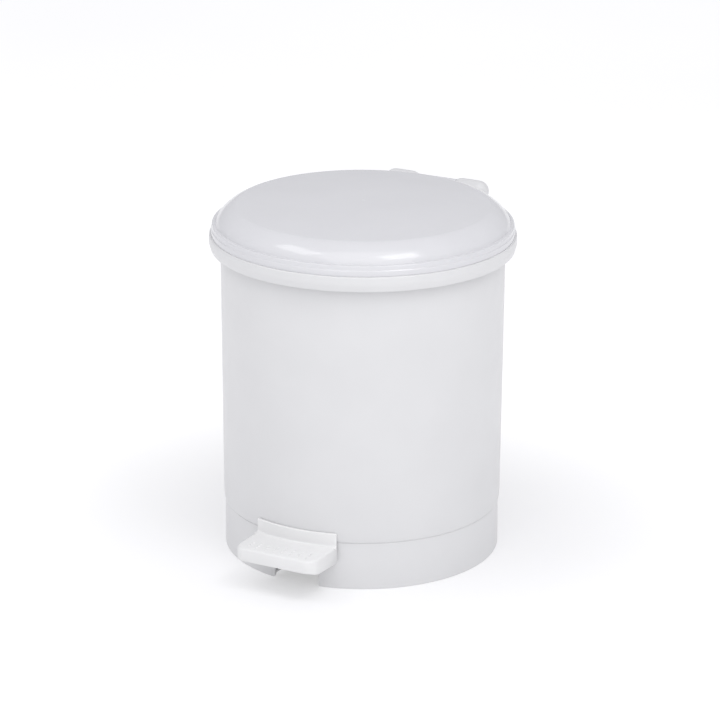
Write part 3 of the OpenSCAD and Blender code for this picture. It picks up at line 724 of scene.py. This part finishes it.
rib = slab("rib", rounded([
    (22, RIB_Z, 0.6), (FOOT_CIRCLE - 10, RIB_Z, 0.6), (FOOT_CIRCLE - 10, RIB_TOP, 0),
    (22, RIB_TOP, 0)]), -0.8, 0.8, "Y")
ribs = [copy_of(rib, f"rib_{i}", Matrix.Rotation(math.tau * (i + 0.5) / RIB_COUNT, 4, "Z"))
        for i in range(RIB_COUNT)]


def rib_ring(name, radius, steps):
    """A round rib under the deck."""
    return turn(name, rounded([(radius, RIB_Z, 0.5), (radius + 1.6, RIB_Z, 0.5),
                               (radius + 1.6, RIB_TOP, 0), (radius, RIB_TOP, 0)]), steps)


hub = rib_ring("hub", HUB_R, 64)
rim_rib = rib_ring("rim_rib", RIM_RIB_R, 96)
BRACKET_R, BRACKET_IN, BRACKET_OUT, AXLE_R = 7.5, 12.2, 17.0, 2.5
sides = [(AXLE_Y - 8, DECK_Z + 1), (AXLE_Y + 8, DECK_Z + 1), (AXLE_Y + BRACKET_R, AXLE_Z)]
crown = [(AXLE_Y + BRACKET_R * math.cos(t), AXLE_Z + BRACKET_R * math.sin(t))
         for t in [math.pi * i / 16 for i in range(1, 16)]]
bracket = slab("bracket", [Vector(p) * MM for p in sides + crown + [(AXLE_Y - BRACKET_R, AXLE_Z)]],
               BRACKET_IN, BRACKET_OUT)
cut(bracket, bar_x("axle_hole", AXLE_R, 30, AXLE_Y, AXLE_Z))
soften(bracket, 0.4)
bracket_left = copy_of(bracket, "bracket_left", Matrix.Scale(-1, 4, (1, 0, 0)))
base_body = join([ring, deck, bracket, bracket_left, hub, rim_rib] + pillars + ribs)
for spare in (well, pillar, rib):
    bpy.data.objects.remove(spare)
base_body.name = base_body.data.name = "base_body"
hand_over(base_body, "housing", white_pp, ["base"])

# %% [markdown]
# The pedal's tread is a hollow moulding. Its outline from above is drawn once: round front
# corners, straight sides and a back that follows the body. The block is extruded down and
# its top edge gets a generous radius. The underside is then opened and the wall given its
# thickness, and an upright plate with pips in front of it finishes the tread.

# %% Pedal tread
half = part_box("pedal_tread")[1].x / MM
TREAD_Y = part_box("pedal_tread")[0].y / MM
PLATE_R = SHELL_LOW_R + 0.2
PLATE_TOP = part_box("pedal_tread")[1].z / MM
LEAN, SKIRT, FRONT_H, TREAD_T = 2.3, 12.5, 9.5, 2.2
CORNER_R, TOP_R, PLATE_T = 8.0, 2.0, 2
BACK_R = SHELL_LOW_R + 1


def tread_outline():
    """The tread from above, in metres: round front corners and a back that hugs the body."""
    back = []
    sweep = math.asin(half / BACK_R)
    for i in range(25):
        a = sweep - 2 * sweep * i / 24
        back.append((BACK_R * math.sin(a), -BACK_R * math.cos(a), 0))
    front = [(-half, TREAD_Y, CORNER_R), (half, TREAD_Y, CORNER_R)]
    return rounded(front + back, 8)


tread = draw("pedal_tread_body", [(x, y, TREAD_Z * MM) for x, y in tread_outline()])
bpy.ops.mesh.edge_face_add()
bpy.ops.mesh.extrude_region_move(TRANSFORM_OT_translate={"value": (0, 0, -FRONT_H * MM)})
bpy.ops.object.mode_set(mode="OBJECT")
# The lower edge drops towards the body and leans out from it.
low_edge = (TREAD_Z - FRONT_H) * MM
for vertex in tread.data.vertices:
    if abs(vertex.co.z - low_edge) < 1e-6:
        inwards = (vertex.co.y / MM - TREAD_Y - 1) / 12
        vertex.co.z -= (SKIRT - FRONT_H) * MM * min(max(inwards, 0), 1)
        if vertex.co.y > -(RIM_R + 4) * MM:
            vertex.co.y -= LEAN * MM * max(0, 1 - abs(vertex.co.x) / (2 * half * MM))
bpy.ops.object.mode_set(mode="EDIT")
close_up(tread)
facing(tread, lambda middle, normal: normal.z > 0.9)
bpy.ops.mesh.bevel(offset=TOP_R * MM, segments=5, affect="EDGES")
facing(tread, lambda middle, normal: normal.z < -0.7)
bpy.ops.mesh.delete(type="FACE")
bpy.ops.object.mode_set(mode="OBJECT")
modify(tread, "SOLIDIFY", thickness=TREAD_T * MM, offset=-1, use_even_offset=True)
soften(tread, 0.35, 2, 60)
print(f"{tread.name}: {len(tread.data.polygons)} faces")

# %% Upright plate and pips
plate_front = PLATE_R + PLATE_T
plate_sweep = 2 * math.asin(half / plate_front)
plate = draw("plate", [(r, 0, z) for r, z in rounded([
    (PLATE_R, TREAD_Z - 1.4, 0), (PLATE_R, PLATE_TOP, 0.6), (plate_front, PLATE_TOP, 0.9),
    (plate_front, TREAD_Z - 0.1, 2.2), (plate_front + 3, TREAD_Z - 0.1, 0),
    (plate_front + 3, TREAD_Z - 1.4, 0)])])
bpy.ops.mesh.edge_face_add()
bpy.ops.mesh.spin(steps=48, angle=plate_sweep, center=(0, 0, 0), axis=(0, 0, 1))
bpy.ops.mesh.select_all(action="DESELECT")
bpy.ops.mesh.select_non_manifold()
bpy.ops.mesh.fill_holes(sides=0)
close_up(plate)
face_front(plate)
soften(plate, 0.4, 2, 60)

PIP_COLUMNS, PIP_ROWS, PIP_STEP, PIP_ROW, PIP_IN, PIP_R = 8, 3, 6.6, 3.6, 6.2, 0.95
PIP_FLATNESS, SCREW_IN = 0.62, (9, 22)
tidy_selection()
bpy.ops.mesh.primitive_uv_sphere_add(segments=14, ring_count=8, radius=PIP_R * MM,
                                     location=(0, 0, 0))
pip = bpy.context.object
pip.data.transform(Matrix.Translation((0, 0, TREAD_Z * MM))
                   @ Matrix.Scale(PIP_FLATNESS, 4, (0, 0, 1)))
pips = [copy_of(pip, f"pip_{i}_{j}", Matrix.Translation((
            (i - (PIP_COLUMNS - 1) / 2) * PIP_STEP * MM, (TREAD_Y + PIP_IN + j * PIP_ROW) * MM, 0)))
        for i in range(PIP_COLUMNS) for j in range(PIP_ROWS)]
bpy.data.objects.remove(pip)
lug = turn("lug", rounded([(1.4, TREAD_Z - 5.3, 0.2), (4, TREAD_Z - 5.3, 0.3),
                           (4.2, TREAD_Z - 1, 0), (1.4, TREAD_Z - 1, 0)], 3), steps=32)
lugs = [copy_of(lug, f"lug_{i}", Matrix.Translation((0, (TREAD_Y + y) * MM, 0)))
        for i, y in enumerate(SCREW_IN)]
bpy.data.objects.remove(lug)
tread = join([tread, plate] + pips + lugs)
# The tread takes the pedal plastic whose colour is painted lighter than the body's.
hand_over(tread, "pedal", lighter_pedal_pp, ["pedal_tread"])

# %% [markdown]
# The bucket lifts out. It is turned like the shell, with a flange that rests on the rim, a
# rounded foot and a recess under it. A slot at the back leaves room for the lid's crank,
# and two small rests inside hold the bail when it is folded down.

# %% Inner bucket
BUCKET_Z, BUCKET_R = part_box("inner_bucket")[0].z / MM, 90.59
FLANGE_R, FLANGE_T, BUCKET_WALL, BUCKET_DRAFT = LID_R - WALL - 0.6, 1.7, 1.6, 5.6
CORNER, FOOT_RISE = 6.0, 1.5
BAIL_Z, BAIL_R, BAIL_HOLE_R, REST_ANGLE = FLANGE_TOP - 7.4, 84.6, 1.6, 32
BUCKET_FLOOR_Z = BUCKET_Z + FOOT_RISE + BUCKET_WALL
foot_r = BUCKET_R - BUCKET_DRAFT
bucket = turn("bucket_body", rounded([
    (0, BUCKET_Z + FOOT_RISE, 0), (foot_r - 16, BUCKET_Z + FOOT_RISE, 1.0),
    (foot_r - 18, BUCKET_Z, 1.0), (foot_r - 0.2, BUCKET_Z, CORNER),
    (BUCKET_R, FLANGE_TOP - FLANGE_T, 1.5),
    (FLANGE_R, FLANGE_TOP - FLANGE_T, 0.5), (FLANGE_R, FLANGE_TOP, 0.5),
    (BUCKET_R - BUCKET_WALL, FLANGE_TOP, 1.4),
    (foot_r - BUCKET_WALL, BUCKET_FLOOR_Z, CORNER - BUCKET_WALL),
    (0, BUCKET_FLOOR_Z, 0)], 6), steps=160)
SLOT_W, SLOT_H = 14.0, 14.0
slot_cut = slab("slot", rounded([
    (-SLOT_W / 2, FLANGE_TOP - SLOT_H, 3), (SLOT_W / 2, FLANGE_TOP - SLOT_H, 3),
    (SLOT_W / 2, FLANGE_TOP + 2, 0), (-SLOT_W / 2, FLANGE_TOP + 2, 0)]),
    BUCKET_R - BUCKET_WALL - 4, RIM_R, "Y")
cut(bucket, slot_cut, bar_x("bail_holes", BAIL_HOLE_R, RIM_R, 0, BAIL_Z))
rests = []
for i, angle in enumerate((-REST_ANGLE, REST_ANGLE)):
    rest = slab(f"rest_{i}", rounded([
        (BAIL_R - 1.5, BAIL_Z - 1.9, 0.5), (BUCKET_R - 1.2, BAIL_Z - 1.9, 0),
        (BUCKET_R - 1.2, BAIL_Z - 6.0, 0), (BAIL_R - 1.5, BAIL_Z - 3.4, 0.8)]), -1.8, 1.8, "Y")
    soften(rest, 0.3)
    rest.data.transform(Matrix.Rotation(math.radians(angle - 90), 4, "Z"))
    rests.append(rest)
bucket = join([bucket] + rests)
hand_over(bucket, "bucket", bucket_pp, ["inner_bucket"])

# %% [markdown]
# The bail's sleeve is a soft grip on the wire. A ring is spun along the wire's arc, and
# its bands are fattened in waves four degrees long, which gives the finger ribs.

# %% Bail grip
GRIP_R, GRIP_HALF, GRIP_STEPS, GRIP_RIDGE, RIDGE_PITCH = 3.5, 22, 44, 0.35, 4
tidy_selection()
bpy.ops.mesh.primitive_circle_add(vertices=28, radius=(GRIP_R - GRIP_RIDGE) * MM, fill_type="NGON",
                                  location=(BAIL_R * MM, 0, BAIL_Z * MM),
                                  rotation=(math.pi / 2, 0, 0))
grip = bpy.context.object
grip.name = grip.data.name = "bail_grip_sleeve"
bpy.ops.object.transform_apply(location=True, rotation=True, scale=True)
bpy.ops.object.mode_set(mode="EDIT")
bpy.ops.mesh.select_all(action="SELECT")
bpy.ops.mesh.spin(steps=GRIP_STEPS, angle=math.radians(2 * GRIP_HALF), center=(0, 0, 0),
                  axis=(0, 0, 1))
close_up(grip)
face_front(grip)
for vertex in grip.data.vertices:
    way = math.atan2(vertex.co.x, -vertex.co.y)
    heart = Vector((math.sin(way), -math.cos(way), 0)) * BAIL_R * MM
    heart.z = BAIL_Z * MM
    ridge = GRIP_RIDGE * (0.5 - 0.5 * math.cos(math.degrees(way) / RIDGE_PITCH * math.tau))
    if abs(math.degrees(way)) < GRIP_HALF - 0.5:
        vertex.co += (vertex.co - heart).normalized() * ridge * MM
hand_over(grip, "bail", grip_pp, ["bail_grip"])

# %% [markdown]
# The feet are turned rubber buttons with a groove round the tread face. The small steel
# and nylon parts keep the frame's shape, and only lose their sharp edges: each is copied,
# its doubles are merged and its edges are rounded.

# %% Rubber feet
RUBBER_R, GROOVE_DEPTH, PLUG_R, BARB_R = 8, 0.5, 2, 3
foot = turn("foot", rounded([
    (0, GROOVE_DEPTH, 0), (2.5, GROOVE_DEPTH, 0.3), (3.2, 0, 0.4), (4.6, 0, 0.3),
    (5.0, GROOVE_DEPTH, 0.2), (5.6, GROOVE_DEPTH, 0.2), (6.0, 0, 0.3), (RUBBER_R, 0, 0.8),
    (RUBBER_R - 0.1, DECK_Z, 0), (PLUG_R, DECK_Z, 0), (PLUG_R, DECK_Z + DECK_T, 0),
    (BARB_R, DECK_Z + DECK_T, 0.3), (PLUG_R + 0.2, DECK_Z + DECK_T + 1.4, 0.3),
    (0, DECK_Z + DECK_T + 1.4, 0)], 3), steps=48)
FEET = ("foot_back_right", "foot_back_left", "foot_front_left", "foot_front_right")
for name, angle in zip(FEET, screw_angles):
    piece = copy_of(foot, name + "_rubber", Matrix.Rotation(angle, 4, "Z")
                    @ Matrix.Translation((FOOT_CIRCLE * MM, 0, 0)))
    hand_over(piece, "housing", rubber, [name])
bpy.data.objects.remove(foot)

# %% Small metal and nylon parts
EDGES = {"pedal_lever": 0.35, "axle_clip_left": 0.12, "axle_clip_right": 0.12,
         "rod_guide_upper": 0.3, "rod_guide_lower": 0.3, "rod_nut_upper": 0.25,
         "rod_nut_lower": 0.25, "rod_shoe": 0.15}
body_of = {name: body for body, names in frame["record"]["behaviour"]["bodies"].items()
           for name in names}
for name, width in EDGES.items():
    piece = copy_of(frame["nodes"][name], name + "_finished", Matrix.Identity(4))
    for key in [k for k in piece.keys() if k.startswith("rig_")]:
        del piece[key]
    piece.parent = None
    tidy_selection()
    bpy.context.view_layer.objects.active = piece
    piece.select_set(True)
    bpy.ops.object.mode_set(mode="EDIT")
    bpy.ops.mesh.select_all(action="SELECT")
    bpy.ops.mesh.remove_doubles(threshold=0.01 * MM)
    bpy.ops.mesh.dissolve_limited(angle_limit=math.radians(2))
    bpy.ops.object.mode_set(mode="OBJECT")
    soften(piece, width, 2, 45)
    hand_over(piece, body_of[name], finish_of[slot_of[name]], [name])
